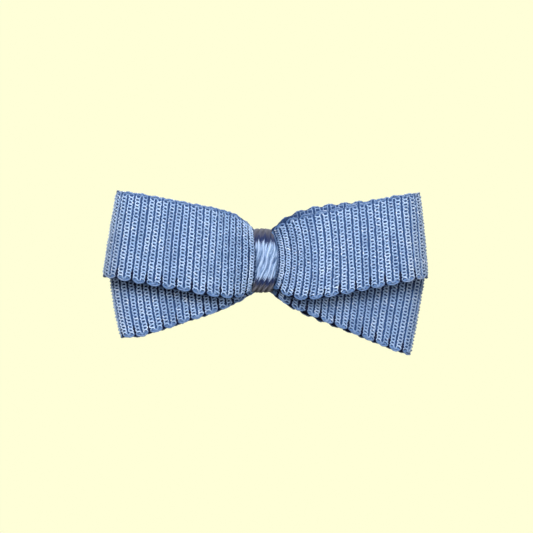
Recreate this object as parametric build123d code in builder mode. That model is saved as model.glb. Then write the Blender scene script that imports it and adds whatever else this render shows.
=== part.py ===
from build123d import *
from math import atan2, cos, radians, sin, tan
import os

# A hair bow: two folded ribbon bows, one in front of the other, pinched by a thread and
# covered by a gathered satin band that also ties them to a sprung hair clip.
#
# Millimetres. X runs along the clip, Z is up as the bow is worn, and the bow faces -Y.
# The origin is straight behind the knot, on the plane where the closed clip grips the hair.

os.makedirs("parts", exist_ok=True)

# --- Ribbons -------------------------------------------------------------------------------
ribbon_width = 16.8
ribbon_thickness = 0.7
knot_height = 9.8            # the ribbons are gathered to this height under the band
knot_half_length = 2.6
shoulder_x = 7.0             # where the gathers have opened out again
cut_depth = 40.0             # longer than the bow is deep

# A wing is one half of a ribbon bow: its outer corners as (distance from the knot, height),
# and the heights of its edges at the shoulder. The upper edge comes first.
upper_wings = {
    "left": {"corners": [(27.7, 13.4), (30.4, -3.1)], "shoulder": (9.5, -7.4)},
    "right": {"corners": [(29.3, 12.9), (30.9, -3.4)], "shoulder": (9.2, -7.9)},
}
lower_wings = {
    "left": {"corners": [(29.6, 1.4), (27.2, -14.9)], "shoulder": (5.4, -8.5)},
    "right": {"corners": [(30.7, -1.3), (27.6, -17.9)], "shoulder": (4.6, -9.6)},
}

# Each run of a wing, seen from above: (distance from the knot, depth along Y). The end
# fold that joins the two runs is a half circle.
upper_front_run = [(1.6, -7.4), (3, -7.9), (8, -11.0), (15, -12.6)]
upper_back_run = [(1.6, -5.3), (3, -5.5), (8, -6.9), (15, -7.4)]
upper_fold_radius = 2.4
upper_fold_depth = -9.7
lower_front_run = [(1.6, -4.3), (3, -4.3), (8, -5.0), (15, -5.7)]
lower_back_run = [(1.6, -3.3), (5, -3.35), (10, -2.9), (15, -2.75)]
lower_fold_radius = 1.35
lower_fold_depth = -4.2

# --- Centre band and thread ------------------------------------------------------------------
band_width = 4.3
band_height = 12.2
band_front = -8.8
band_back = -0.25
band_thickness = 0.45
band_corner = 1.2
thread_width = 1.8
thread_height = 10.9
thread_front = -8.25
thread_back = -2.5
thread_thickness = 0.35
thread_corner = 0.5

# --- Clip --------------------------------------------------------------------------------------
arm_length = 45.0
arm_width = 8.0
sheet_thickness = 0.6
pad_thickness = 0.8
lining_thickness = 0.4
lining_width = 10.0
lining_inner_end = 5.0       # the lining's inner run stops here, short of the ears
arm_inner = -(pad_thickness + lining_thickness)
arm_outer = arm_inner - sheet_thickness
lining_outer = arm_outer - lining_thickness
nose_x = -arm_length / 2
tail_x = arm_length / 2
corner_radius = 2.5

pin_x = 9.5
pin_y = 2.6
pin_radius = 0.75
pin_head_radius = 1.25
pin_head_thickness = 0.4
running_clearance = 0.05     # between the pin and the jaw's holes
rivet_clearance = 0.01       # between the pin and the arm's ears, where it is peened tight
ear_radius = 2.0
ear_gap = 0.1                # between the arm's ears and the jaw's

jaw_width = 6.6
jaw_bend_start = 5.0
jaw_bend_end = 9.0
jaw_back = 4.9               # the jaw's sheet, mid-thickness, over the spring
jaw_nose_y = 1.9
lever_end_y = 9.0
lever_start_x = 12.5         # the lever widens here, beyond the ears
bend_radius = 3.0
grip_ridge_count = 4         # raised across the lever for the thumb
grip_ridge_pitch = 1.4
grip_ridge_radius = 0.3
grip_ridge_length = 5.0
flange_edge_y = 1.6
tooth_pitch = 2.0
tooth_count = 7
tooth_tip_y = 0.06
tooth_root_y = 1.1
pad_length = 15.0
pad_width = 6.0

wire_radius = 0.35
coil_radius = 1.3
coil_pitch = 0.78
coil_whole_turns = 3
arm_leg_drop = 15.0          # the leg on the arm slopes down by this angle (degrees)
jaw_leg_rise = 19.0          # the leg on the jaw slopes up by this angle (degrees)
leg_tip_x = 17.5

glue_length = 8.0
glue_height = 7.0
glue_groove_clearance = 0.05


def wing_axis(wing):
    """The wing's length and tilt above level (radians): its axis is square to its outer end."""
    (top_x, top_z), (bottom_x, bottom_z) = wing["corners"]
    tilt = atan2(bottom_x - top_x, top_z - bottom_z)
    return top_x * cos(tilt) + top_z * sin(tilt), tilt


def wing_plane(side, tilt):
    """Local X runs outwards along the wing's axis, local Y is depth, Z is the width."""
    outwards = 1 if side == "right" else -1
    # The depth axis must stay +Y, so on the left the width axis points down.
    across = Vector(-outwards * sin(tilt), 0, cos(tilt)) * outwards
    return Plane(origin=(0, 0, 0), x_dir=(outwards * cos(tilt), 0, sin(tilt)), z_dir=across)


def bow_outline(wings):
    """The bow's outline as (x, z), once round from the top of the knot."""
    knot_top, knot_bottom = knot_height / 2, -knot_height / 2
    outline = []
    for side, outwards in (("right", 1), ("left", -1)):
        top, bottom = wings[side]["corners"]
        shoulder_top, shoulder_bottom = wings[side]["shoulder"]
        half = [
            (knot_half_length, knot_top),
            (shoulder_x, shoulder_top),
            top,
            bottom,
            (shoulder_x, shoulder_bottom),
            (knot_half_length, knot_bottom),
        ]
        outline += [(outwards * x, z) for x, z in half[::outwards]]
    return outline


# Each ribbon is one strip that runs round both of its wings, gathered solid at the knot.
def ribbon_bow(wings, front_run, back_run, fold_radius, fold_depth):
    with BuildPart() as bow:
        for side, wing in wings.items():
            length, tilt = wing_axis(wing)
            fold_start = length - fold_radius - ribbon_thickness / 2
            with BuildSketch(wing_plane(side, tilt)):
                with BuildLine():
                    front = Spline(
                        *front_run,
                        (fold_start, fold_depth - fold_radius),
                        tangents=[(1, 0), (1, 0)],
                    )
                    back = Spline(
                        *back_run,
                        (fold_start, fold_depth + fold_radius),
                        tangents=[(1, 0), (1, 0)],
                    )
                    ThreePointArc(
                        front @ 1, (fold_start + fold_radius, fold_depth), back @ 1
                    )
                trace(line_width=ribbon_thickness)
            extrude(amount=ribbon_width, both=True)
        with BuildSketch(Plane.XZ):
            with BuildLine():
                Polyline(*bow_outline(wings), close=True)
            make_face()
        extrude(amount=cut_depth, both=True, mode=Mode.INTERSECT)
        knot_front = front_run[0][1] - ribbon_thickness / 2
        knot_back = back_run[0][1] + ribbon_thickness / 2
        with BuildSketch(Plane.XZ.offset(-knot_back)):
            Rectangle(2 * knot_half_length, knot_height)
        extrude(amount=knot_back - knot_front)
    return bow.part


upper_ribbon = ribbon_bow(
    upper_wings, upper_front_run, upper_back_run, upper_fold_radius, upper_fold_depth
)
lower_ribbon = ribbon_bow(
    lower_wings, lower_front_run, lower_back_run, lower_fold_radius, lower_fold_depth
)


# A closed ring round the knot, lying in the YZ plane.
def knot_ring(width, height, front, back, thickness, corner):
    depth = back - front
    with BuildPart() as ring:
        with BuildSketch(Plane.YZ.offset(-width / 2)):
            with Locations(((front + back) / 2, 0)):
                RectangleRounded(depth, height, corner)
                RectangleRounded(
                    depth - 2 * thickness,
                    height - 2 * thickness,
                    corner - thickness,
                    mode=Mode.SUBTRACT,
                )
        extrude(amount=width)
    return ring.part


centre_band = knot_ring(
    band_width, band_height, band_front, band_back, band_thickness, band_corner
)
gather_thread = knot_ring(
    thread_width, thread_height, thread_front, thread_back, thread_thickness, thread_corner
)


# Hot-melt glue between the bow and the lined arm. It has set round the thread.
ribbon_back = lower_back_run[0][1] + ribbon_thickness / 2
with BuildPart() as glue_bead:
    with BuildSketch(Plane.XZ.offset(-lining_outer)):
        RectangleRounded(glue_length, glue_height, corner_radius)
    extrude(amount=lining_outer - ribbon_back)
    with BuildSketch(Plane.XZ.offset(-thread_back - glue_groove_clearance)):
        Rectangle(thread_width + 2 * glue_groove_clearance, cut_depth)
    extrude(amount=cut_depth, mode=Mode.SUBTRACT)


# The clip's fixed arm: a flat spring-steel strip with two ears bent towards the jaw.
ear_inner = jaw_width / 2 + ear_gap
ear_outer = ear_inner + sheet_thickness
with BuildPart() as top_arm:
    with BuildSketch(Plane.XZ.offset(-arm_inner)):
        RectangleRounded(arm_length, arm_width, corner_radius)
    extrude(amount=sheet_thickness)
    with BuildSketch(Plane.XY.offset(ear_inner)):
        with Locations((pin_x, pin_y)):
            Circle(ear_radius)
        with Locations((pin_x, (pin_y + arm_inner) / 2)):
            Rectangle(2 * ear_radius, pin_y - arm_inner)
    extrude(amount=sheet_thickness)
    mirror(about=Plane.XY)
    with BuildSketch(Plane.XY):
        with Locations((pin_x, pin_y)):
            Circle(pin_radius + rivet_clearance)
    extrude(amount=arm_width, both=True, mode=Mode.SUBTRACT)


# Ribbon glued along the arm's outside, over its nose, and back along its inside.
with BuildPart() as arm_lining:
    with BuildSketch(Plane.XY):
        with BuildLine():
            Polyline(
                (tail_x, arm_outer - lining_thickness / 2),
                (nose_x - lining_thickness / 2, arm_outer - lining_thickness / 2),
                (nose_x - lining_thickness / 2, arm_inner + lining_thickness / 2),
                (lining_inner_end, arm_inner + lining_thickness / 2),
            )
        trace(line_width=lining_thickness)
    extrude(amount=lining_width / 2, both=True)


# Silicone strip that the jaw's teeth press the hair into.
tooth_row_start = nose_x + 0.8
with BuildPart() as grip_pad:
    with BuildSketch(Plane.XZ.offset(pad_thickness)):
        with Locations((tooth_row_start + pad_length / 2, 0)):
            RectangleRounded(pad_length, pad_width, pad_thickness)
    extrude(amount=-pad_thickness)


with BuildPart() as hinge_pin:
    head_offset = ear_outer + rivet_clearance
    with BuildSketch(Plane.XY):
        with Locations((pin_x, pin_y)):
            Circle(pin_radius)
    extrude(amount=head_offset, both=True)
    for face in (head_offset, -head_offset - pin_head_thickness):
        with BuildSketch(Plane.XY.offset(face)):
            with Locations((pin_x, pin_y)):
                Circle(pin_head_radius)
        extrude(amount=pin_head_thickness)


# The sprung jaw: a channel whose edges are cut into teeth at the nose and left tall as
# ears at the hinge, bent back beyond the hinge to make the thumb lever.
lever_slope = (lever_end_y - jaw_back) / (tail_x - jaw_bend_end)
lever_start_y = jaw_back + lever_slope * (lever_start_x - jaw_bend_end)
lever_middle_x = (lever_start_x + tail_x) / 2
lever_middle_y = (lever_start_y + lever_end_y) / 2
lever_length = Vector(tail_x - lever_start_x, lever_end_y - lever_start_y).length
lever_plane = Plane(
    origin=(lever_middle_x, lever_middle_y, 0),
    x_dir=(1, lever_slope, 0),
    z_dir=(-lever_slope, 1, 0),
)


def grip_ridge_centres():
    """Points on the lever's outer face, counted back from its tail."""
    for ridge in range(1, grip_ridge_count + 1):
        x = tail_x - ridge * grip_ridge_pitch
        yield x, lever_start_y + lever_slope * (x - lever_start_x) + sheet_thickness / 2


def tooth_outline():
    """Root, tip, root, tip ... along the nose, as (x, y)."""
    points = []
    for tooth in range(tooth_count):
        start = tooth_row_start + tooth * tooth_pitch
        points.append((start, tooth_root_y))
        points.append((start + tooth_pitch / 2, tooth_tip_y))
    points.append((tooth_row_start + tooth_count * tooth_pitch, tooth_root_y))
    return points


with BuildPart() as jaw_arm:
    with BuildSketch(Plane.XY):
        with BuildLine():
            FilletPolyline(
                (tooth_row_start, jaw_nose_y),
                (jaw_bend_start, jaw_back),
                (jaw_bend_end, jaw_back),
                (lever_middle_x, lever_middle_y),
                radius=bend_radius,
            )
        trace(line_width=sheet_thickness)
    extrude(amount=jaw_width / 2, both=True)
    with BuildSketch(lever_plane):
        RectangleRounded(lever_length, arm_width, corner_radius)
    extrude(amount=sheet_thickness / 2, both=True)
    with BuildSketch(Plane.XY):
        with Locations(*grip_ridge_centres()):
            Circle(grip_ridge_radius)
    extrude(amount=grip_ridge_length / 2, both=True)
    with BuildSketch(Plane.XY.offset(jaw_width / 2 - sheet_thickness)):
        with BuildLine():
            Polyline(
                *tooth_outline(),
                (tooth_row_start + tooth_count * tooth_pitch, flange_edge_y),
                (pin_x, flange_edge_y),
                (pin_x, jaw_back),
                (jaw_bend_start, jaw_back),
                (tooth_row_start, jaw_nose_y),
                close=True,
            )
        make_face()
        with Locations((pin_x, pin_y)):
            Circle(ear_radius)
        with Locations((pin_x, (pin_y + jaw_back) / 2)):
            Rectangle(2 * ear_radius, jaw_back - pin_y)
    extrude(amount=sheet_thickness)
    mirror(about=Plane.XY)
    with BuildSketch(Plane.XY):
        with Locations((pin_x, pin_y)):
            Circle(pin_radius + running_clearance)
    extrude(amount=arm_width, both=True, mode=Mode.SUBTRACT)


# Torsion spring: a left-hand coil round the pin whose legs push the two levers apart.
coil_turns = coil_whole_turns + (180 - arm_leg_drop - jaw_leg_rise) / 360
coil_height = coil_turns * coil_pitch
arm_leg_angle = radians(-90 - arm_leg_drop)
jaw_leg_angle = radians(90 + jaw_leg_rise)


def coil_point(angle, z):
    return Vector(pin_x + coil_radius * cos(angle), pin_y + coil_radius * sin(angle), z)


# Where each leg leaves the coil, and the slope it runs off at.
legs = [
    (coil_point(arm_leg_angle, -coil_height / 2), -arm_leg_drop),
    (coil_point(jaw_leg_angle, coil_height / 2), jaw_leg_rise),
]
with BuildPart() as torsion_spring:
    coil_plane = Plane(
        origin=(pin_x, pin_y, -coil_height / 2),
        x_dir=(cos(arm_leg_angle), sin(arm_leg_angle), 0),
        z_dir=(0, 0, 1),
    )
    with BuildLine(coil_plane) as coil_path:
        Helix(pitch=coil_pitch, height=coil_height, radius=coil_radius, lefthand=True)
    with BuildSketch(Plane(origin=coil_path.line @ 0, z_dir=coil_path.line % 0)):
        Circle(wire_radius)
    sweep(path=coil_path.line)
    for start, slope in legs:
        run = leg_tip_x - start.X
        tip = Vector(leg_tip_x, start.Y + run * tan(radians(slope)), start.Z)
        with BuildSketch(Plane(origin=start, z_dir=tip - start)):
            Circle(wire_radius)
        extrude(amount=(tip - start).length)


pieces = {
    "upper_ribbon": upper_ribbon,
    "lower_ribbon": lower_ribbon,
    "centre_band": centre_band,
    "gather_thread": gather_thread,
    "glue_bead": glue_bead.part,
    "arm_lining": arm_lining.part,
    "grip_pad": grip_pad.part,
    "top_arm": top_arm.part,
    "jaw_arm": jaw_arm.part,
    "hinge_pin": hinge_pin.part,
    "torsion_spring": torsion_spring.part,
}
for name, piece in pieces.items():
    piece.label = name
    export_step(piece, f"parts/{name}.step")
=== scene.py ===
import math

import bpy
import numpy as np
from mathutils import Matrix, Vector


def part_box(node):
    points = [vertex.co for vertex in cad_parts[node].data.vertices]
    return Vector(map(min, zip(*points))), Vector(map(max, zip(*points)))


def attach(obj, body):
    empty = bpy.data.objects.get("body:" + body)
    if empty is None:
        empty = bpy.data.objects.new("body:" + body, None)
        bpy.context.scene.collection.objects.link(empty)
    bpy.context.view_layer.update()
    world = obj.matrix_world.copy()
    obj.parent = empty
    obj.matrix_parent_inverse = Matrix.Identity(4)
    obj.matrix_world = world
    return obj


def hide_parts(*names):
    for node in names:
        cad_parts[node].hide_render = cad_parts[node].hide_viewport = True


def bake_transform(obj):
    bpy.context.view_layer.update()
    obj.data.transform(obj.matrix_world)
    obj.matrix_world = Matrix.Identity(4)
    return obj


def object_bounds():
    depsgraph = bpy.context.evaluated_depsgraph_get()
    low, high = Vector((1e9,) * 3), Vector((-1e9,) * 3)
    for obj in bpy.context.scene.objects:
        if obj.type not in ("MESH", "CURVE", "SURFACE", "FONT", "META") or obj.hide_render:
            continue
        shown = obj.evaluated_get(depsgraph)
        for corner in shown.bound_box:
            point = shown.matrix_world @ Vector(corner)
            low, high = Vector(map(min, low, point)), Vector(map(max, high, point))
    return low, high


# A ribbon hair bow on a sprung clip. Metres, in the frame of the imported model: X runs along
# the clip, Z is up as the bow is worn, and the bow faces -Y.

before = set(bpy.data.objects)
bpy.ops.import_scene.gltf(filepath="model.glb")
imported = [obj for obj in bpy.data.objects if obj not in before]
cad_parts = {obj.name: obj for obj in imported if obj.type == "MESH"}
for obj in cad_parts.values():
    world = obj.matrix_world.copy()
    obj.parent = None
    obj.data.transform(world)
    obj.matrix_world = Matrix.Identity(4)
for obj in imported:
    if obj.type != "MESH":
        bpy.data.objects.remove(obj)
cad_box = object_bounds()

MM = 0.001

# --- Ribbed ribbon ------------------------------------------------------------------------------
RIB_PITCH = 1.36 * MM
LOOP_PITCH = 0.623 * MM          # spacing of the open loops along a rib
LOOPS_PER_RIB = 24
SAMPLES_PER_LOOP = 6
RAIL_OFFSET = 0.40 * MM          # the two strands of a rib swing this far from its middle
RAIL_SQUARENESS = 2.0            # how sharply they cross from one rail to the other
STRAND_RADIUS = 0.120 * MM
STRAND_SIDES = 5
STRAND_HEIGHT = 0.20 * MM        # above the middle of the ground cloth's face
STRAND_LIFT = 0.12 * MM          # how far the strands pass over and under each other
STRAND_STRAY = 0.16 * MM         # how far they stray from their places
STRAY_GRAIN = 2600.0             # how quickly that changes, per metre
TURN_RADIUS = 0.17 * MM          # of the threads that turn round the ribbon's edges
TURN_DEPTH_OUTER = 0.64 * MM     # how far the two of a turn stand out beyond the ribs
TURN_DEPTH_INNER = 0.34 * MM
TURN_BRIGHT_OUTER = 0.12         # 0 is the deepest blue, 1 the ribs' own
TURN_BRIGHT_INNER = 0.35
WEAVE_WIDTH = LOOPS_PER_RIB * LOOP_PITCH
RIBBON_WIDTH = WEAVE_WIDTH + 2 * (TURN_DEPTH_OUTER + TURN_RADIUS)
EDGE_REACH = 1.08                # width of the surface that the ribbon is laid on, in ribbon widths
GUIDE_WIDTH = RIBBON_WIDTH * EDGE_REACH
GROUND_THICKNESS = 0.26 * MM
GROUND_WAVE = 0.07 * MM          # half the height of the ground cloth's own ribs

# --- Wings --------------------------------------------------------------------------------------
# A wing is one loop of a ribbon: out from the knot, round its end fold and back behind itself.
LEFT, RIGHT = -1, 1
KNOT_START = 0.4 * MM            # the wings start this far from the middle of the knot
ARCH_ANGLE_KNOT = 1.25           # half the arc that the ribbon's width bends through at the knot
ARCH_ANGLE_OPEN = 0.25           # and away from it
RIB_WANDER = 0.045 * MM
RIB_WAVE = 0.05 * MM

# What the two wings of a ribbon share. Depths are along Y: at the knot, then at the crown, where
# the loop is fullest. The end fold is half an ellipse. At its edges the ribbon falls back by sag
# beside the knot, in the front run and in the back one, and by roll in the rest of the front run.
UPPER = {
    "front": (-7.3 * MM, -11.9 * MM),
    "back": (-5.4 * MM, -7.3 * MM),
    "fold_reach": 4.5 * MM,
    "fold_radius": 2.7 * MM,
    "fold_depth": -9.2 * MM,
    "crown": 13.5 * MM,
    "gather_length": 3.0 * MM,
    "sag": (2.2 * MM, 2.0 * MM),
    "roll": 0.9 * MM,
}
LOWER = {
    "front": (-4.5 * MM, -5.9 * MM),
    "back": (-3.4 * MM, -2.85 * MM),
    "fold_reach": 3.0 * MM,
    "fold_radius": 1.4 * MM,
    "fold_depth": -4.4 * MM,
    "crown": 13.0 * MM,
    "gather_length": 4.0 * MM,
    "sag": (1.6 * MM, 0.9 * MM),
    "roll": 0.2 * MM,
}


def edge_shape(corner, slope, knot, ease, lift=0.0):
    """An edge in millimetres: a line from its outer corner that eases into the knot's height."""
    return {
        "corner": (corner[0] * MM, corner[1] * MM),
        "slope": slope,
        "knot": knot * MM,
        "ease": ease * MM,
        "lift": lift * MM,
    }


def wing_shape(ribbon, outwards, seed, held, curl, top, bottom,
               bulge=0.0, rise=0.0, drop=0.0, bright=1.0):
    """A wing in millimetres. The band presses it flat as far as held. Curl is how far its ribs
    bow outwards near the knot, how quickly that sets in and how far it lasts, and bulge is how
    far they bow at the end. The back run shows above the front one by rise, and below by drop.
    Bright below 1 darkens all of the wing's threads as painted shade."""
    return {
        **ribbon,
        "outwards": outwards,
        "seed": seed,
        "held": held * MM,
        "curl": tuple(part * MM for part in curl),
        "top": top,
        "bottom": bottom,
        "bulge": bulge * MM,
        "rise": rise * MM,
        "drop": drop * MM,
        "bright": bright,
    }


WINGS = {
    "upper_left": wing_shape(
        UPPER, LEFT, seed=11, held=1.2, curl=(-0.9, 0.3, 4.5), drop=0.15,
        top=edge_shape((27.8, 13.6), slope=0.19, knot=3.9, ease=3.1, lift=-0.25),
        bottom=edge_shape((30.5, -3.2), slope=0.179, knot=-4.4, ease=3.2)),
    "upper_right": wing_shape(
        UPPER, RIGHT, seed=12, held=2.1, curl=(2.0, 2.6, 11.0), rise=1.2, drop=0.15,
        top=edge_shape((29.3, 13.25), slope=0.205, knot=5.1, ease=2.6, lift=-0.25),
        bottom=edge_shape((30.9, -3.4), slope=0.195, knot=-4.6, ease=4.0)),
    "lower_left": wing_shape(
        LOWER, LEFT, seed=13, held=1.2, curl=(0.3, 1.0, 9.0), bulge=0.6,
        top=edge_shape((29.5, 1.4), slope=-0.21, knot=4.6, ease=6.0),
        bottom=edge_shape((27.2, -15.85), slope=-0.322, knot=-5.2, ease=4.6, lift=0.9)),
    # Its threads are darkened by bright=0.75: painted shade on the whole lower right wing.
    "lower_right": wing_shape(
        LOWER, RIGHT, seed=14, held=2.1, curl=(0.9, 1.0, 9.0), bulge=0.1, drop=0.4, bright=0.75,
        top=edge_shape((30.7, -1.3), slope=-0.244, knot=4.3, ease=4.0),
        bottom=edge_shape((27.6, -18.55), slope=-0.425, knot=-5.4, ease=2.6, lift=0.3)),
}

# --- Centre band --------------------------------------------------------------------------------
BAND_SHIFT_X = 0.45 * MM
BAND_MIDDLE_Y = -4.5 * MM
BAND_HALF_DEPTH = 4.05 * MM
BAND_HALF_HEIGHT = 5.95 * MM
BAND_HALF_WIDTH = 1.95 * MM
BAND_PLEATS = 4
BAND_SLANTS = (8, 12)            # pleats that cross an edge in one turn, for each of two folds
BAND_PLEAT_HEIGHT = 0.84 * MM
BAND_FLARE = 0.55                # how much wider the band is behind the clip
BAND_DOME = 0.25 * MM
BAND_BOW = 1.00 * MM             # how far its top and bottom lean towards -X
BAND_WALL = 0.22 * MM
GATHER_TURNS = 5
GATHER_THREAD_RADIUS = 0.14 * MM
GATHER_HALF_WIDTH = 0.72 * MM
GATHER_UNDER_BAND = 0.85 * MM    # how far inside the band its turns lie
GATHER_DEPTHS = (-8.1 * MM, -2.65 * MM)

# --- Clip ---------------------------------------------------------------------------------------
PIN = np.array([9.5, 2.6]) * MM
COIL_RADIUS = 1.3 * MM
COIL_HEIGHT = 2.656 * MM
COIL_TURNS = 4
WIRE_RADIUS = 0.35 * MM
LEG_TIP_X = 17.5 * MM
ARM_LEG_DROP = 15.0              # degrees
JAW_LEG_RISE = 19.0
LINING_WIDTH = 10 * MM
LINING_THICKNESS = 0.34 * MM
LINING_WEAVE = (0.55 * MM, 0.33 * MM)
LINING_MIDDLE_Y = -1.5 * MM      # half way between the lining's two runs
LINING_TURN = 0.5 * MM           # radius of its turn over the arm's nose
ARM_TAIL = 22.4 * MM
ARM_NOSE = -22.5 * MM
LINING_INNER_END = 5.0 * MM
GRIP_RIB_PITCH = 1.0 * MM
GRIP_FLOOR = 0.5 * MM
GRIP_INSET = 0.02 * MM           # the pad stays this far inside its own box


def smooth_step(x):
    x = np.clip(x, 0, 1)
    return x * x * (3 - 2 * x)


def wing_reach(wing):
    """How far the middle of the wing's outer end is from the knot."""
    return (wing["top"]["corner"][0] + wing["bottom"]["corner"][0]) / 2


def run_depth(s, knot, crown, fold, wing):
    """Depth of one run of a wing at distance s from the knot."""
    fold_start = wing_reach(wing) - wing["fold_reach"]
    free = np.clip((s - wing["held"]) / (wing["crown"] - wing["held"]), 0, 1)
    out = knot + (crown - knot) * (1 - (1 - free) ** 1.6)
    return out + (fold - crown) * smooth_step((s - wing["crown"]) / (fold_start - wing["crown"]))


def wing_profile(wing):
    """The wing seen from above: arc length, distance from the knot, depth, share of back run."""
    radius, reach = wing["fold_radius"], wing["fold_reach"]
    fold_start = wing_reach(wing) - reach
    s = np.linspace(KNOT_START, fold_start, 160)
    front = run_depth(s, *wing["front"], wing["fold_depth"] - radius, wing)
    back = run_depth(s, *wing["back"], wing["fold_depth"] + radius, wing)
    turn = np.linspace(0, math.pi, 60)[1:-1]
    along = np.concatenate([s, fold_start + reach * np.sin(turn), s[::-1]])
    depth = np.concatenate([front, wing["fold_depth"] - radius * np.cos(turn), back[::-1]])
    arc = np.concatenate([[0], np.cumsum(np.hypot(np.diff(along), np.diff(depth)))])
    behind = smooth_step((arc / arc[-1] - 0.42) / 0.16)
    return arc, along, depth, behind


def wing_edge(wing, side, s):
    """Where one edge of the wing is at distance s along it: (outwards, up)."""
    edge = wing[side]
    share = (s - KNOT_START) / (wing_reach(wing) - KNOT_START)
    out = KNOT_START + share * (edge["corner"][0] - KNOT_START)
    line = edge["corner"][1] - edge["slope"] * (edge["corner"][0] - out)
    line_at_knot = edge["corner"][1] - edge["slope"] * (edge["corner"][0] - KNOT_START)
    faded = np.exp(-(np.maximum(out - KNOT_START, 0) / edge["ease"]) ** 1.5)
    eased = (line_at_knot - edge["knot"]) * faded
    lifted = edge["lift"] * smooth_step(1 - (edge["corner"][0] - out) / (4 * MM))
    return out, line - eased + lifted


def wing_surface(wing, u, t):
    """Points of the wing at arc length u and share t of the guide's half width, from -1 to 1."""
    arc, along, depth, behind = wing_profile(wing)
    s = np.interp(u, arc, along)
    y = np.interp(u, arc, depth)
    b = np.interp(u, arc, behind)
    t = t * EDGE_REACH
    share = np.clip(s / wing_reach(wing), 0, 1)
    near_knot = np.exp(-(np.maximum(s - KNOT_START, 0) / wing["gather_length"]) ** 1.5)
    bend = ARCH_ANGLE_KNOT * near_knot + ARCH_ANGLE_OPEN
    curl, onset, length = wing["curl"]
    pulled = curl * (1 - np.exp((KNOT_START - s) / onset)) * np.exp(-(s / length) ** 2)
    high = wing_edge(wing, "top", s - pulled)
    low = wing_edge(wing, "bottom", s - pulled)
    across = np.sin(bend * t) / np.sin(bend)
    out, up = ((h + l) / 2 + (h - l) / 2 * across for h, l in zip(high, low))
    spread = b * np.sin(math.pi * share ** 0.64) ** 3      # most a third of the way out
    up = up + spread * (wing["rise"] * (1 + t) - wing["drop"] * (1 - t)) / 2
    out = out + (wing["bulge"] * share + pulled) * (1 - t * t)
    sag = wing["roll"] * (1 - b) * (1 - share ** 4)
    sag = sag + (wing["sag"][0] * (1 - b) + wing["sag"][1] * b) * near_knot
    y = y + sag * (1 - np.cos(bend * t)) / (1 - np.cos(bend))
    free = 1 - near_knot
    out = out + wobble(wing, u, t, RIB_WANDER) * free
    y = y + wobble(wing, u + 9 * MM, t, RIB_WAVE) * free
    return np.stack([wing["outwards"] * out, y, up], -1)


def wobble(wing, u, t, strength):
    """Slow random waves, so that no rib is quite straight."""
    waves = np.random.default_rng(wing["seed"]).uniform(-1, 1, (6, 4))
    total = 0.0
    for along, across, phase, size in waves:
        swing = u / MM * (0.9 + 0.5 * along) + 3.2 * across * t + 6.3 * phase
        total = total + size * np.sin(swing)
    return strength * total


def wing_length(wing):
    return wing_profile(wing)[0][-1]


def first_rib(wing):
    """Where the ribs start along the wing, so that one of them lies on the outer fold."""
    arc, along, _, _ = wing_profile(wing)
    return (arc[np.argmax(along)] - RIB_PITCH / 2) % RIB_PITCH


# --- Mesh helpers -------------------------------------------------------------------------------
def add_object(name, data):
    obj = bpy.data.objects.new(name, data)
    bpy.context.scene.collection.objects.link(obj)
    return obj


def mesh_object(name, points, edges=(), faces=()):
    mesh = bpy.data.meshes.new(name)
    mesh.from_pydata([tuple(p) for p in points], list(edges), list(faces))
    mesh.update()
    return add_object(name, mesh)


def grid_faces(rows, columns, flip=False):
    faces = []
    for i in range(rows - 1):
        for j in range(columns - 1):
            a = i * columns + j
            quad = (a, a + columns, a + columns + 1, a + 1)
            faces.append(quad[::-1] if flip else quad)
    return faces


def closed_grid_faces(rows, columns, flip=False):
    """Two layers of a grid, back to back, and the wall round their rim."""
    faces = grid_faces(rows, columns, flip)
    size = rows * columns
    faces += [tuple(v + size for v in face[::-1]) for face in faces]
    rim = [i * columns for i in range(rows)]
    rim += [(rows - 1) * columns + j for j in range(1, columns)]
    rim += [i * columns + columns - 1 for i in range(rows - 2, -1, -1)]
    rim += list(range(columns - 2, 0, -1))
    for a, b in zip(rim, rim[1:] + rim[:1]):
        faces.append((a, b, b + size, a + size) if flip else (b, a, a + size, b + size))
    return faces


def corner_values(mesh, values):
    """Values of the points, repeated for each corner of each face."""
    corner = np.empty(len(mesh.loops), int)
    mesh.loops.foreach_get("vertex_index", corner)
    return values[corner]


def store_uv(mesh, name, values):
    layer = mesh.uv_layers.new(name=name)
    layer.data.foreach_set("uv", values.ravel())


def make_guide(name, wing):
    """A smooth surface for the weave to lie on, with its flat place as a UV map."""
    rows, columns = 260, 27
    length = wing_length(wing)
    u, t = np.meshgrid(np.linspace(0, length, rows), np.linspace(-1, 1, columns), indexing="ij")
    points = wing_surface(wing, u, t)
    step = length / rows / 2
    along = wing_surface(wing, u + step, t) - wing_surface(wing, u - step, t)
    across = wing_surface(wing, u, t + 0.01) - wing_surface(wing, u, t - 0.01)
    normal = np.cross(along, across) * wing["outwards"]
    normal /= np.linalg.norm(normal, axis=-1, keepdims=True)
    obj = mesh_object(name, points.reshape(-1, 3), faces=grid_faces(rows, columns))
    flat = np.stack([u / length, (t + 1) / 2], -1).reshape(-1, 2)
    store_uv(obj.data, "flat", corner_values(obj.data, flat))
    outward = obj.data.attributes.new("outward", "FLOAT_VECTOR", "POINT")
    outward.data.foreach_set("vector", normal.reshape(-1, 3).ravel())
    return obj


# --- Nodes --------------------------------------------------------------------------------------
def grey(level):
    return (level,) * 3


def input_of(made, key):
    """A node's input by its place, as i0, or by its name, with _ for each space."""
    if key[0] == "i" and key[1:].isdigit():
        return made.inputs[int(key[1:])]
    return made.inputs[key.replace("_", " ")]


def only_enabled(sockets, *names):
    """The socket in use, where a node has one for each kind of data."""
    return next(socket for socket in sockets if socket.enabled and (not names or socket.name in names))


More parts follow.
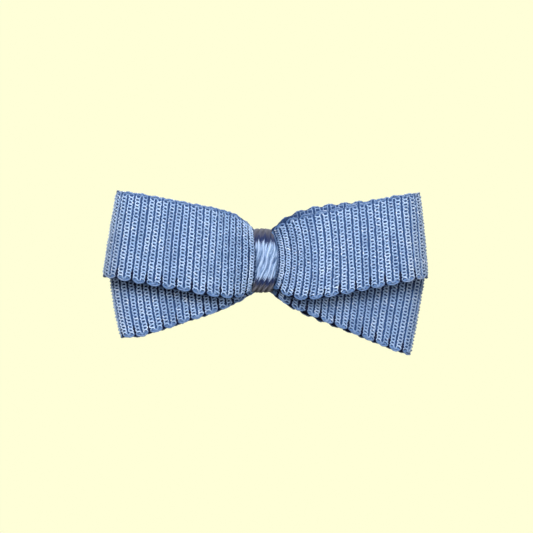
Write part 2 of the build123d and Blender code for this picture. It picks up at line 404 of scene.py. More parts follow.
class Nodes:
    """A node tree being built: each input is given a socket, a node or a constant."""

    def __init__(self, tree):
        self.nodes = tree.nodes
        self.links = tree.links

    def node(self, kind, settings=None, **inputs):
        made = self.nodes.new(kind)
        for key, value in (settings or {}).items():
            setattr(made, key, value)
        for key, source in inputs.items():
            self.feed(input_of(made, key), source)
        return made

    def feed(self, socket, source):
        if isinstance(source, bpy.types.NodeSocket):
            self.links.new(source, socket)
        elif isinstance(source, bpy.types.Node):
            self.links.new(only_enabled(source.outputs), socket)
        else:
            socket.default_value = source

    def math(self, operation, a, b=0.0, clamp=False):
        settings = {"operation": operation, "use_clamp": clamp}
        return self.node("ShaderNodeMath", settings, i0=a, i1=b).outputs[0]

    def axes(self, vector):
        return self.node("ShaderNodeSeparateXYZ", Vector=vector).outputs

    def ramp(self, factor, *stops):
        """A colour ramp; each stop is (place, colour)."""
        made = self.node("ShaderNodeValToRGB", Fac=factor)
        elements = made.color_ramp.elements
        while len(elements) < len(stops):
            elements.new(0.5)
        for element, (place, colour) in zip(elements, stops):
            element.position = place
            element.color = (*colour, 1.0)
        return made.outputs[0]


class Tree(Nodes):
    """A Geometry Nodes tree with named inputs."""

    def __init__(self, name, inputs):
        self.tree = bpy.data.node_groups.new(name, "GeometryNodeTree")
        super().__init__(self.tree)
        self.sockets = {}
        face = self.tree.interface
        face.new_socket("Geometry", in_out="INPUT", socket_type="NodeSocketGeometry")
        for label, kind in inputs.items():
            socket = face.new_socket(label, in_out="INPUT", socket_type="NodeSocket" + kind)
            self.sockets[label] = socket.identifier
        face.new_socket("Geometry", in_out="OUTPUT", socket_type="NodeSocketGeometry")
        self.start = self.node("NodeGroupInput")
        self.end = self.node("NodeGroupOutput")

    def given(self, label):
        return self.start.outputs[label]

    def stored(self, name, kind="FLOAT"):
        return self.node("GeometryNodeInputNamedAttribute", {"data_type": kind}, Name=name)

    def finish(self, geometry, material):
        whole = self.node("GeometryNodeRealizeInstances", Geometry=geometry)
        painted = self.node("GeometryNodeSetMaterial", Geometry=whole, Material=material)
        self.feed(self.end.inputs[0], painted)


def run_tree(tree, host, name, values):
    """Runs the tree on the host mesh and returns the result as a plain mesh object."""
    modifier = host.modifiers.new("shape", "NODES")
    modifier.node_group = tree.tree
    for label, value in values.items():
        modifier[tree.sockets[label]] = value
    bpy.context.view_layer.update()
    evaluated = host.evaluated_get(bpy.context.evaluated_depsgraph_get())
    mesh = bpy.data.meshes.new_from_object(evaluated)
    host.modifiers.remove(modifier)
    mesh.name = name
    return add_object(name, mesh)


def drop(*objects):
    for obj in objects:
        bpy.data.objects.remove(obj, do_unlink=True)


def lay_on_guide(tree, geometry):
    """Moves flat geometry onto the guide: X is the length, Y the width, Z the height above."""
    x, y, z = tree.axes(tree.node("GeometryNodeInputPosition"))
    u = tree.math("DIVIDE", x, tree.given("Flat Length"))
    v = tree.math("ADD", tree.math("DIVIDE", y, tree.given("Flat Width")), 0.5)
    flat = tree.node("ShaderNodeCombineXYZ", X=u, Y=v)
    guide = tree.node("GeometryNodeObjectInfo", Object=tree.given("Guide")).outputs["Geometry"]
    uv = tree.stored("flat", "FLOAT_VECTOR")
    samples = []
    for value in (tree.node("GeometryNodeInputPosition"), tree.stored("outward", "FLOAT_VECTOR")):
        sample = tree.node("GeometryNodeSampleUVSurface", {"data_type": "FLOAT_VECTOR"})
        tree.feed(sample.inputs["Mesh"], guide)
        tree.feed(only_enabled(sample.inputs, "Value"), value)
        tree.feed(only_enabled(sample.inputs, "UV Map", "Source UV Map"), uv)
        tree.feed(sample.inputs["Sample UV"], flat)
        samples.append(only_enabled(sample.outputs, "Value"))
    lift = tree.node("ShaderNodeVectorMath", {"operation": "SCALE"}, i0=samples[1], Scale=z)
    target = tree.node("ShaderNodeVectorMath", {"operation": "ADD"}, i0=samples[0], i1=lift)
    return tree.node("GeometryNodeSetPosition", Geometry=geometry, Position=target)


def thread_tubes(tree, edges, sides):
    """Turns edge chains into round threads of their stored radius, each with its own tint."""
    curve = tree.node("GeometryNodeMeshToCurve", Mesh=edges)
    radius = tree.stored("thread_radius")
    sized = tree.node("GeometryNodeSetCurveRadius", Curve=curve, Radius=radius)
    chance = tree.node("FunctionNodeRandomValue", {"data_type": "FLOAT"})
    tinted = tree.node("GeometryNodeStoreNamedAttribute", {"data_type": "FLOAT", "domain": "CURVE"},
                       Geometry=sized, Name="thread_tint")
    tree.feed(only_enabled(tinted.inputs, "Value"), only_enabled(chance.outputs))
    ring = tree.node("GeometryNodeCurvePrimitiveCircle", {"mode": "RADIUS"}, Resolution=sides)
    tree.feed(only_enabled(ring.inputs, "Radius"), 1.0)
    tube = tree.node("GeometryNodeCurveToMesh", Curve=tinted,
                     Profile_Curve=ring.outputs[0], Fill_Caps=True)
    if "Scale" in tube.inputs:
        tree.feed(tube.inputs["Scale"], radius)
    return tree.node("GeometryNodeSetShadeSmooth", Geometry=tube)


def weave_tree():
    tree = Tree("weave_on_guide", {
        "Guide": "Object", "Flat Length": "Float", "Flat Width": "Float",
        "Start": "Vector", "Repeats": "Int", "Repeat Length": "Float",
        "Sides": "Int", "Material": "Material",
    })
    step = tree.node("ShaderNodeCombineXYZ", X=tree.given("Repeat Length"))
    row = tree.node("GeometryNodeMeshLine", {"mode": "OFFSET"},
                    Count=tree.given("Repeats"), Start_Location=tree.given("Start"), Offset=step)
    copies = tree.node("GeometryNodeInstanceOnPoints", Points=row, Instance=tree.given("Geometry"))
    flat = tree.node("GeometryNodeRealizeInstances", Geometry=copies)
    noise = tree.node("ShaderNodeTexNoise", Scale=STRAY_GRAIN, Detail=0.0)
    tree.feed(noise.inputs["Vector"], tree.node("GeometryNodeInputPosition"))
    centred = tree.node("ShaderNodeVectorMath", {"operation": "SUBTRACT"},
                        i0=noise.outputs["Color"], i1=(0.5, 0.5, 0.5))
    stray = tree.node("ShaderNodeVectorMath", {"operation": "SCALE"}, i0=centred, Scale=STRAND_STRAY * 2)
    flat = tree.node("GeometryNodeSetPosition", Geometry=flat, Offset=stray)
    laid = lay_on_guide(tree, flat)
    tree.finish(thread_tubes(tree, laid, tree.given("Sides")), tree.given("Material"))
    return tree


def cloth_tree():
    tree = Tree("cloth_on_guide", {
        "Guide": "Object", "Flat Length": "Float", "Flat Width": "Float", "Material": "Material",
    })
    laid = lay_on_guide(tree, tree.given("Geometry"))
    smooth = tree.node("GeometryNodeSetShadeSmooth", Geometry=laid)
    tree.finish(smooth, tree.given("Material"))
    return tree


def threads_tree():
    tree = Tree("free_threads", {"Sides": "Int", "Material": "Material"})
    tree.finish(thread_tubes(tree, tree.given("Geometry"), tree.given("Sides")), tree.given("Material"))
    return tree


# --- Materials ----------------------------------------------------------------------------------
class Finish(Nodes):
    """A material being built round one Principled shader."""

    def __init__(self, name, **constants):
        self.material = bpy.data.materials.new(name)
        self.material.use_nodes = True
        super().__init__(self.material.node_tree)
        self.shader = self.nodes["Principled BSDF"]
        for label, value in constants.items():
            input_of(self.shader, label).default_value = value

    def place(self):
        """Where the point is, in metres."""
        return self.node("ShaderNodeTexCoord").outputs["Object"]

    def uv(self, name):
        return self.node("ShaderNodeUVMap", {"uv_map": name})

    def stored(self, name):
        return self.node("ShaderNodeAttribute", {"attribute_name": name}).outputs["Fac"]

    def distance(self, a, b):
        return self.math("ABSOLUTE", self.math("SUBTRACT", a, b))

    def weighted(self, a, share_a, b, share_b):
        """The sum of two values, each times its share."""
        return self.math("ADD", self.math("MULTIPLY", a, share_a), self.math("MULTIPLY", b, share_b))

    def mix(self, factor, a, b, blend="MIX"):
        made = self.node("ShaderNodeMix", {"data_type": "RGBA", "blend_type": blend})
        self.feed(made.inputs[0], factor)
        for socket, value in ((made.inputs[6], a), (made.inputs[7], b)):
            self.feed(socket, (*value, 1.0) if isinstance(value, tuple) else value)
        return made.outputs[2]

    def noise(self, vector, scale, detail=3.0, roughness=0.55):
        made = self.node("ShaderNodeTexNoise", Vector=vector, Scale=scale,
                         Detail=detail, Roughness=roughness)
        return made.outputs[0]

    def stretched(self, vector, x, y, z):
        return self.node("ShaderNodeMapping", Vector=vector, Scale=(x, y, z))

    def bump(self, height, strength, distance):
        made = self.node("ShaderNodeBump", Height=height, Strength=strength, Distance=distance)
        self.feed(self.shader.inputs["Normal"], made)

    def colour(self, source):
        self.feed(self.shader.inputs["Base Color"], source)

    def rough(self, source):
        self.feed(self.shader.inputs["Roughness"], source)

    def rough_between(self, value, low, high):
        """Roughness that goes from low to high where the value goes from 0.3 to 0.7."""
        self.rough(self.ramp(value, (0.3, grey(low)), (0.7, grey(high))))


THREAD_LIGHT = (0.55, 0.69, 0.90)
THREAD_MID = (0.275, 0.43, 0.69)
THREAD_DEEP = (0.12, 0.22, 0.43)
THREAD_TURN = (0.060, 0.135, 0.31)
THREAD_FOLD_SHEEN = (0.26, 0.29, 0.33)
THREAD_GLINT = (0.90, 0.94, 1.0)
# The cloth's own deep blue, darkened further as painted shade in the grooves.
GROOVE_BLUE = (0.026, 0.060, 0.155)
# Painted shade on the ground cloth beside the band.
BAND_SHADE_BLUE = (0.014, 0.036, 0.105)
# Near-black navy, for painted shade and shadow.
SHADE_NAVY = (0.008, 0.012, 0.04)
INNER_FACE = 100                 # added to the second 'ribs' coordinate on the cloth's inner face
NOTCH_START = 0.30               # how far from a turn's middle the painted shadow in the gap beside it starts, in turns
FOLD_SHEEN_FROM = 25.5 * MM            # a pale painted sheen lies on the end folds from here outwards
FOLD_SHEEN_TO = 29.5 * MM


def beside_band(f, along, *stops):
    """A ramp over the distance from the middle of the band, with its stops in centimetres."""
    return f.ramp(f.math("DIVIDE", f.distance(along, BAND_SHIFT_X), 10 * MM), *stops)


def ribbon_thread_finish():
    """Silky yarn: deeper where it turns, with painted shade beside the band and on the lower right wing,
    a pale painted sheen on the end folds, and painted white glints.
    """
    f = Finish("ribbon_thread", Specular_IOR_Level=0.55)
    place = f.place()
    tint = f.stored("thread_tint")
    bright = f.stored("thread_bright")
    patch = f.noise(place, 420.0, 2.0)
    mixed = f.weighted(tint, 0.25, patch, 0.75)
    base = f.ramp(mixed, (0.25, THREAD_DEEP), (0.5, THREAD_MID), (0.78, THREAD_LIGHT))
    fibre = f.noise(place, 5200.0, 2.0)
    base = f.mix(f.math("MULTIPLY", fibre, 0.35), base, THREAD_LIGHT)
    # Deeper blue by the threads' brightness: on the edge turns, and as painted shade all over the lower
    # right wing.
    base = f.mix(bright, THREAD_TURN, base)
    along = f.axes(place)[0]
    outwards = f.math("ABSOLUTE", along)
    # Pale painted sheen: the threads turn greyer towards the end folds.
    wear_and_sheen = f.node("ShaderNodeMapRange", Value=outwards, From_Min=FOLD_SHEEN_FROM, From_Max=FOLD_SHEEN_TO, To_Max=0.45)
    base = f.mix(wear_and_sheen, base, THREAD_FOLD_SHEEN)
    # Painted shade beside the band: the threads go deeper blue close to it.
    band_shade = beside_band(f, along, (0.19, grey(0.9)), (0.27, grey(0.12)), (0.5, grey(0)))
    base = f.mix(band_shade, base, THREAD_TURN)
    # Painted highlights: small white glints mixed into the colour, dimmer on darker threads.
    glint = f.ramp(f.noise(place, 1700.0, 1.0), (0.64, grey(0)), (0.72, grey(1)))
    base = f.mix(f.math("MULTIPLY", f.math("MULTIPLY", glint, 0.6), bright), base, THREAD_GLINT)
    f.colour(base)
    f.rough_between(fibre, 0.30, 0.50)
    f.bump(fibre, 0.35, 0.04 * MM)
    return f.material


def painted_shadow_under_upper_bow(f, axes):
    """Painted shadow of the upper bow: strongest just below the upper ribbon's lower edge, and nothing
    above it.
    """
    edge = WINGS["upper_left"]["bottom"]
    corner_x, corner_z = edge["corner"]
    inwards = f.math("SUBTRACT", corner_x, f.math("ABSOLUTE", axes[0]))
    line = f.math("SUBTRACT", corner_z, f.math("MULTIPLY", inwards, edge["slope"]))
    below = f.math("DIVIDE", f.math("SUBTRACT", line, axes[2]), 3 * MM)
    return f.ramp(below, (0.0, grey(0)), (0.05, grey(0.95)), (0.8, grey(0)))


def rib_relief(f, ribs):
    """The ribs' rails and rungs drawn on the cloth, which its inner face shows: lighter on rails and
    rungs and darker between, partly the weave's own pattern and partly painted light and shade.
    """
    half_gauge = RAIL_OFFSET / RIB_PITCH
    off_middle = f.distance(f.math("FRACT", ribs[0]), 0.5)
    off_rail = f.distance(off_middle, half_gauge)
    rail = f.math("SUBTRACT", 1.0, f.math("MULTIPLY", off_rail, 11.0), clamp=True)
    loop = f.distance(f.math("FRACT", ribs[1]), 0.5)
    rung = f.math("SUBTRACT", 1.0, f.math("MULTIPLY", loop, 5.0), clamp=True)
    between_rails = f.math("LESS_THAN", off_middle, half_gauge)
    return f.math("MAXIMUM", rail, f.math("MULTIPLY", rung, between_rails))


def edge_notch(f, ribs):
    """1 in the gaps between the turns at the ribbon's lower edge, which are filled with painted shadow.
    """
    turn = f.math("FRACT", f.math("MULTIPLY", ribs[0], 0.5))
    off_turn = f.distance(turn, 0.5)
    reach = f.math("MULTIPLY", f.math("SUBTRACT", off_turn, NOTCH_START), 14.0)
    low = f.math("LESS_THAN", ribs[1], reach)
    return f.math("MULTIPLY", low, f.math("GREATER_THAN", off_turn, NOTCH_START))


def ribbon_ground_finish():
    """The cloth under the threads: its own deep blue, with painted shade in its grooves, beside the band,
    along its lower edge, in the notches there and on its inner face, and a painted shadow under the upper
    bow.
    """
    f = Finish("ribbon_ground", Specular_IOR_Level=0.15)
    ribs = f.axes(f.uv("ribs"))
    raised = rib_relief(f, ribs)
    place = f.place()
    fibre = f.noise(place, 4200.0, 2.0)
    shade = f.weighted(raised, 0.8, fibre, 0.2)
    base = f.ramp(shade, (0.12, GROOVE_BLUE), (0.65, THREAD_DEEP), (0.95, THREAD_LIGHT))
    # Deeper blue beyond the lower edge, between its turns: painted shade.
    base = f.mix(f.math("LESS_THAN", ribs[1], 0.0), base, THREAD_DEEP)
    axes = f.axes(place)
    # Painted shade beside the band.
    band_shade = beside_band(f, axes[0], (0.4, grey(0.9)), (0.9, grey(0)))
    base = f.mix(band_shade, base, BAND_SHADE_BLUE)
    # Painted shadow under the upper bow.
    base = f.mix(painted_shadow_under_upper_bow(f, axes), base, SHADE_NAVY)
    # Near-black near the lower edge of the inner face, inside the loop: painted shade.
    inner = f.math("GREATER_THAN", ribs[1], INNER_FACE / 2)
    low = f.math("LESS_THAN", ribs[1], INNER_FACE + 1.2)
    base = f.mix(f.math("MULTIPLY", inner, low), base, SHADE_NAVY)
    # Painted shadow in the notches between the lower edge's turns.
    f.colour(f.mix(edge_notch(f, ribs), base, SHADE_NAVY))
    f.rough_between(fibre, 0.6, 0.8)
    f.bump(raised, 0.8, 0.12 * MM)
    return f.material


SATIN_SHINE = (0.44, 0.56, 0.77)
SATIN_LIGHT = (0.20, 0.31, 0.50)
SATIN_DARK = (0.05, 0.10, 0.21)
SATIN_SHADE = (0.012, 0.024, 0.085)
SATIN_BACK_GREY = (0.15, 0.145, 0.15)
# Lighter grey for the band's underside: painted light.
SATIN_BACK_GREY_UNDER_LIT = (0.31, 0.29, 0.27)


def satin_finish():
    """Filament silk: fine streaks along the pleats, painted highlights on the pleats' crests, painted
    shade as it turns back, and grey-brown behind, lighter underneath as painted light.
    """
    f = Finish("satin_band", Specular_IOR_Level=0.35)
    uv = f.uv("fibres")
    pleat = f.stored("pleat")
    streak = f.noise(f.stretched(uv, 2.2, 13.0, 1.0), 1.0, 4.0, 0.7)
    bundle = f.noise(f.stretched(uv, 1.8, 4.0, 1.0), 1.0, 2.0)
    tone = f.weighted(streak, 0.55, bundle, 0.35)
    # Painted highlight: lighter on the pleats' crests, less so at the band's sides, which is painted
    # shade.
    tone = f.math("ADD", tone, f.math("MULTIPLY", pleat, 0.11))
    base = f.ramp(tone, (0.45, SATIN_DARK), (0.515, SATIN_LIGHT), (0.58, SATIN_SHINE))
    up = f.axes(f.place())[2]
    ragged = f.math("MULTIPLY", f.math("SUBTRACT", tone, 0.5), -7.0 * MM)
    away = f.math("ADD", f.math("ABSOLUTE", up), ragged)
    height = f.math("DIVIDE", away, BAND_HALF_HEIGHT)
    # Painted shade where the band turns back at its top and bottom.
    turned = f.ramp(height, (0.48, grey(0)), (0.57, grey(1)))
    base = f.mix(turned, base, SATIN_SHADE)
    # Grey-brown at the top and bottom, where the band goes behind; lighter underneath as painted light.
    back_grey = f.ramp(height, (0.70, grey(0)), (0.80, grey(1)))
    under = f.math("LESS_THAN", up, 0.0)
    back_grey_colour = f.mix(under, SATIN_BACK_GREY, SATIN_BACK_GREY_UNDER_LIT)
    base = f.mix(back_grey, base, f.mix(streak, SATIN_SHADE, back_grey_colour))
    f.colour(base)
    sheen = f.ramp(streak, (0.35, grey(0.3)), (0.65, grey(0.5)))
    f.rough(f.math("ADD", sheen, f.math("MULTIPLY", back_grey, 0.35)))
    f.bump(streak, 0.5, 0.08 * MM)
    return f.material


def lining_finish():
    """Matt ribbon: ribs across it with the yarn's turns between them, its colour darker in the grooves
    and lighter on the ribs as painted shade and light.
    """
    f = Finish("lining_ribbon", Sheen_Weight=0.3, Sheen_Roughness=0.5, Specular_IOR_Level=0.25)
    turns = f.axes(f.uv("ribs"))
    rib, yarn = (f.math("SINE", f.math("MULTIPLY", turns[axis], 2 * math.pi)) for axis in (0, 1))
    height = f.weighted(rib, 0.5, yarn, 0.2)
    fibre = f.noise(f.place(), 3000.0, 2.0)
    shade = f.weighted(height, 0.45, fibre, 0.9)
    f.colour(f.ramp(shade, (0.1, GROOVE_BLUE), (0.45, THREAD_DEEP), (0.9, THREAD_MID)))
    f.rough_between(fibre, 0.55, 0.75)
    f.bump(height, 0.7, 0.10 * MM)
    return f.material


def sewing_thread_finish():
    f = Finish("sewing_thread", Sheen_Weight=0.3, Specular_IOR_Level=0.3)
    fibre = f.noise(f.place(), 4000.0, 2.0)
    f.colour(f.ramp(fibre, (0.3, (0.05, 0.09, 0.22)), (0.7, (0.14, 0.22, 0.42))))
    f.rough_between(fibre, 0.5, 0.7)
    f.bump(fibre, 0.4, 0.05 * MM)
    return f.material


def glue_finish():
    f = Finish("hot_melt_glue", Subsurface_Weight=0.25, Subsurface_Scale=1 * MM, Specular_IOR_Level=0.5)
    cloud = f.noise(f.place(), 500.0, 4.0)
    f.colour(f.ramp(cloud, (0.3, (0.55, 0.50, 0.38)), (0.7, (0.78, 0.75, 0.64))))
    f.rough_between(cloud, 0.2, 0.38)
    f.bump(cloud, 0.4, 0.1 * MM)
    return f.material


def silicone_finish():
    f = Finish("silicone", Subsurface_Weight=0.2, Subsurface_Scale=1 * MM, Specular_IOR_Level=0.45)
    dust = f.noise(f.place(), 1800.0, 4.0)
    f.colour(f.ramp(dust, (0.35, (0.52, 0.55, 0.60)), (0.65, (0.66, 0.69, 0.73))))
    f.rough_between(dust, 0.38, 0.58)
    f.bump(dust, 0.15, 0.05 * MM)
    return f.material


def steel_finish(name, light, dark, brushed, roughness):
    """Plated steel, brushed along X, with faint tarnish and fine scratches."""
    f = Finish(name, Metallic=1.0)
    place = f.place()
    grain = f.noise(f.stretched(place, 90.0, brushed, brushed), 1.0, 4.0, 0.7)
    tarnish = f.noise(place, 190.0, 5.0, 0.6)
    scratch = f.noise(f.stretched(place, 260.0, 5200.0, 5200.0), 1.0, 1.0)
    scratch = f.ramp(scratch, (0.66, grey(0)), (0.70, grey(1)))
    tone = f.weighted(grain, 0.5, tarnish, 0.5)
    f.colour(f.ramp(tone, (0.32, dark), (0.62, light)))
    wear_and_sheen = f.math("ADD", f.math("MULTIPLY", tone, 0.30), roughness - 0.12)
    f.rough(f.math("ADD", wear_and_sheen, f.math("MULTIPLY", scratch, 0.14)))
    f.bump(f.math("ADD", grain, scratch), 0.18, 0.03 * MM)
    return f.material


FINISHES = {
    "thread": ribbon_thread_finish(),
    "ground": ribbon_ground_finish(),
    "satin": satin_finish(),
    "lining": lining_finish(),
    "sewing": sewing_thread_finish(),
    "glue": glue_finish(),
    "silicone": silicone_finish(),
    "clip": steel_finish("clip_steel", (0.70, 0.69, 0.66), (0.48, 0.47, 0.45), 2600.0, 0.27),
    "pin": steel_finish("pin_steel", (0.56, 0.55, 0.53), (0.36, 0.35, 0.34), 1800.0, 0.36),
    "spring": steel_finish("spring_steel", (0.36, 0.36, 0.38), (0.20, 0.20, 0.22), 2400.0, 0.30),
}


# --- Woven ribbons ------------------------------------------------------------------------------
def thread_chains(name, chains):
    """Edge chains; each chain is (points, thread radius, brightness)."""
    points, edges, stored = [], [], {"thread_radius": [], "thread_bright": []}
    for line, radius, bright in chains:
        first = len(points)
        points.extend(line)
        stored["thread_radius"].extend([radius] * len(line))
        stored["thread_bright"].extend([bright] * len(line))
        edges.extend((first + k, first + k + 1) for k in range(len(line) - 1))
    obj = mesh_object(name, points, edges)
    for label, values in stored.items():
        attribute = obj.data.attributes.new(label, "FLOAT", "POINT")
        attribute.data.foreach_set("value", np.array(values, np.float32))
    return obj


def rib_strand(middle, side, twist):
    """One strand of a rib: it swings from rail to rail, over and under its partner."""
    count = LOOPS_PER_RIB * SAMPLES_PER_LOOP + 1
    y = np.linspace(-WEAVE_WIDTH / 2, WEAVE_WIDTH / 2, count)
    phase = math.pi * (y + WEAVE_WIDTH / 2) / LOOP_PITCH
    swing = np.tanh(RAIL_SQUARENESS * np.cos(phase)) / math.tanh(RAIL_SQUARENESS)
    x = middle + side * RAIL_OFFSET * swing
    z = STRAND_HEIGHT + side * twist * STRAND_LIFT * np.sin(phase)
    return np.stack([x, y, z], -1)


def selvedge_turn(middle, half_width, depth, edge):
    """The turn of a strand round the ribbon's edge, from one rib to the next."""
    angle = np.linspace(0, math.pi, 15)
    x = middle - half_width * np.cos(angle)
    y = edge * (WEAVE_WIDTH / 2 + depth * np.sin(angle) ** 0.95)
    z = np.full_like(angle, STRAND_HEIGHT * 0.5)
    return np.stack([x, y, z], -1)


def two_ribs(name, twist, bright):
    """The repeat of the weave: two ribs, joined by turns at one edge and to the next at the other."""
    chains = []
    for rib in (0.5, 1.5):
        for side in (-1, 1):
            chains.append((rib_strand(rib * RIB_PITCH, side, twist), STRAND_RADIUS, bright))
    turns = ((RIB_PITCH / 2 + RAIL_OFFSET, TURN_DEPTH_OUTER, TURN_BRIGHT_OUTER),
             (RIB_PITCH / 2 - RAIL_OFFSET, TURN_DEPTH_INNER, TURN_BRIGHT_INNER))
    for middle, edge in ((1.0, -1), (2.0, 1)):
        for half_width, depth, turn_bright in turns:
            turn = selvedge_turn(middle * RIB_PITCH, half_width, depth, edge)
            chains.append((turn, TURN_RADIUS, turn_bright))
    return thread_chains(name, chains)


def flat_ground(name, length, start):
    """The closed ground cloth, laid flat: ribbed above and below."""
    rows = int(length / RIB_PITCH * 6)
    columns = 25
    inset = 0.02 * MM
    x, t = np.meshgrid(np.linspace(inset, length - inset, rows),
                       np.linspace(-1, 1, columns), indexing="ij")
    turn = math.pi / 2 * (x - start) / RIB_PITCH
    scallop = np.where(t > 0, np.abs(np.cos(turn)), np.abs(np.sin(turn))) ** 0.5
    y = t * (WEAVE_WIDTH / 2 + TURN_DEPTH_OUTER * (0.5 + 0.45 * scallop))
    wave = GROUND_WAVE * np.cos(2 * math.pi * ((x - start) / RIB_PITCH - 0.5))
    top = np.stack([x, y, wave], -1).reshape(-1, 3)
    bottom = np.stack([x, y, -GROUND_THICKNESS - wave], -1).reshape(-1, 3)
    faces = closed_grid_faces(rows, columns)
    obj = mesh_object(name, np.concatenate([top, bottom]), faces=faces)
    flat = np.stack([(x - start) / RIB_PITCH, (y + WEAVE_WIDTH / 2) / LOOP_PITCH], -1).reshape(-1, 2)
    both = np.concatenate([flat, flat + (0, INNER_FACE)])
    store_uv(obj.data, "ribs", corner_values(obj.data, both))
    return obj


def join(objects, name):
    with bpy.context.temp_override(active_object=objects[0], selected_editable_objects=objects):
        bpy.ops.object.join()
    objects[0].name = name
    objects[0].data.name = name
    return objects[0]


def woven_ribbon(node, weave, cloth):
    """Both wings of one ribbon: a ground cloth and the threads of each wing."""
    grounds, threads, strip = [], [], 0.0
    for side in ("left", "right"):
        wing = WINGS[f"{node}_{side}"]
        length = wing_length(wing)
        strip += length
        guide = make_guide("guide", wing)
        shared = {"Guide": guide, "Flat Length": length, "Flat Width": GUIDE_WIDTH}
        start = first_rib(wing)
        repeats = int((length - start - RIB_PITCH) / (2 * RIB_PITCH))
        host = two_ribs("repeat", wing["outwards"], wing["bright"])
        threads.append(run_tree(weave, host, f"{node}_ribbon_{side}_weave", {
            **shared, "Start": (start, 0.0, 0.0), "Repeats": repeats, "Repeat Length": 2 * RIB_PITCH,
            "Sides": STRAND_SIDES, "Material": FINISHES["thread"],
        }))
        flat = flat_ground("flat", length, start)
        painted = {**shared, "Material": FINISHES["ground"]}
        grounds.append(run_tree(cloth, flat, f"ground_{side}", painted))
        drop(guide, host, flat)
    ground = join(grounds, f"{node}_ribbon_ground")
    for piece in (ground, *threads):
        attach(piece, "bow")
        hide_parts(f"{node}_ribbon")


weave = weave_tree()
cloth = cloth_tree()
loose_threads = threads_tree()
woven_ribbon("upper", weave, cloth)
woven_ribbon("lower", weave, cloth)


# --- Centre band --------------------------------------------------------------------------------
def ring_point(angle, grow):
    """Round the knot: soft in front, square behind where it crosses the clip's arm."""
    y, z = -np.cos(angle), np.sin(angle)
    power = np.where(y > 0, 6.0, 2.5)
    a, b = BAND_HALF_DEPTH + grow, BAND_HALF_HEIGHT + grow
    reach = (np.abs(y / a) ** power + np.abs(z / b) ** power) ** (-1 / power)
    return BAND_MIDDLE_Y + y * reach, z * reach


def pleat_phase(angle, t, slant):
    """Half a turn for each pleat, at an angle round the ring and share t of its half width."""
    wander = 0.28 * np.sin(2 * angle) + 0.30 * np.sin(4 * angle + 4 * t)
    return math.pi * (BAND_PLEATS * (t + 1) / 2 - slant * angle / (2 * math.pi)) + wander


def store_fibres(mesh, angle, phase):
    """A UV map whose first coordinate runs along the pleats, unbroken where the ring closes."""
    flat = np.stack([angle, phase / math.pi], -1).reshape(-1, 2)
    uv = corner_values(mesh, np.concatenate([flat, flat])).reshape(-1, 4, 2)
    crosses = np.ptp(uv[:, :, 0], axis=1) > math.pi
    uv[crosses[:, None] & (uv[:, :, 0] < math.pi)] += np.array([2 * math.pi, -BAND_SLANTS[0]])
    store_uv(mesh, "fibres", uv)


def centre_band():
    """Silky ribbon gathered into slanting pleats, wound round the knot and the clip's arm."""
    turns, columns = 480, 61
    angle, t = np.meshgrid(np.linspace(0, 2 * math.pi, turns, endpoint=False),
                           np.linspace(-1, 1, columns), indexing="ij")
    folds = [np.abs(np.cos(pleat_phase(angle, t, slant))) ** 0.8 for slant in BAND_SLANTS]
    pleat = np.maximum(folds[0], 0.7 * folds[1])
    height = BAND_PLEAT_HEIGHT * (pleat - 1) + BAND_DOME * (1 - t * t)
    flare = 1 + BAND_FLARE * smooth_step(-np.cos(angle) - 0.1)
    x = BAND_SHIFT_X + BAND_HALF_WIDTH * flare * (1 + 0.04 * np.sin(3 * angle)) * t
    layers = []
    for level in (height, height - BAND_WALL):
        y, z = ring_point(angle, level)
        leaning = x - BAND_BOW * (z / BAND_HALF_HEIGHT) ** 2
        layers.append(np.stack([leaning, y, z], -1).reshape(-1, 3))
    size = turns * columns
    faces = []
    for i in range(turns):
        n = (i + 1) % turns
        for j in range(columns - 1):
            a, b = i * columns + j, n * columns + j
            faces.append((a, a + 1, b + 1, b))
            faces.append((a + size, b + size, b + 1 + size, a + 1 + size))
        for j, order in ((0, 1), (columns - 1, -1)):
            rim = (i * columns + j, n * columns + j, n * columns + j + size, i * columns + j + size)
            faces.append(rim[::order])
    obj = mesh_object("centre_band_satin", np.concatenate(layers), faces=faces)
    store_fibres(obj.data, angle, pleat_phase(angle, t, BAND_SLANTS[0]))
    # The pleat attribute makes the satin lighter on the pleats' crests and less so at the band's sides:
    # painted light and shade.
    depth = obj.data.attributes.new("pleat", "FLOAT", "POINT")
    depth.data.foreach_set("value", np.tile((pleat * (1 - t ** 8)).ravel(), 2).astype(np.float32))
    obj.data.shade_smooth()
    obj.data.materials.append(FINISHES["satin"])
    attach(obj, "bow")
    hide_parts("centre_band")


centre_band()


def gather_thread():
    """Turns of thread under the band, each beside the last."""
    angle = np.linspace(0, 2 * math.pi * GATHER_TURNS, 90 * GATHER_TURNS)
    y, z = ring_point(angle, -GATHER_UNDER_BAND)
    y = np.clip(y, *GATHER_DEPTHS)
    x = np.linspace(-GATHER_HALF_WIDTH, GATHER_HALF_WIDTH, len(angle))
    host = thread_chains("turns", [(np.stack([x, y, z], -1), GATHER_THREAD_RADIUS, 1.0)])
    given = {"Sides": 8, "Material": FINISHES["sewing"]}
    obj = run_tree(loose_threads, host, "gather_thread_turns", given)
    drop(host)
    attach(obj, "bow")
    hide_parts("gather_thread")


gather_thread()


# --- Clip ---------------------------------------------------------------------------------------
def spring_leg(end, slope):
    """A straight leg from its tip to one end of the coil, at a slope in degrees."""
    run = np.linspace(LEG_TIP_X - end[0], 0, 24)
    rise = run * math.tan(math.radians(slope))
    return np.stack([end[0] + run, end[1] + rise, np.full_like(run, end[2])], -1)


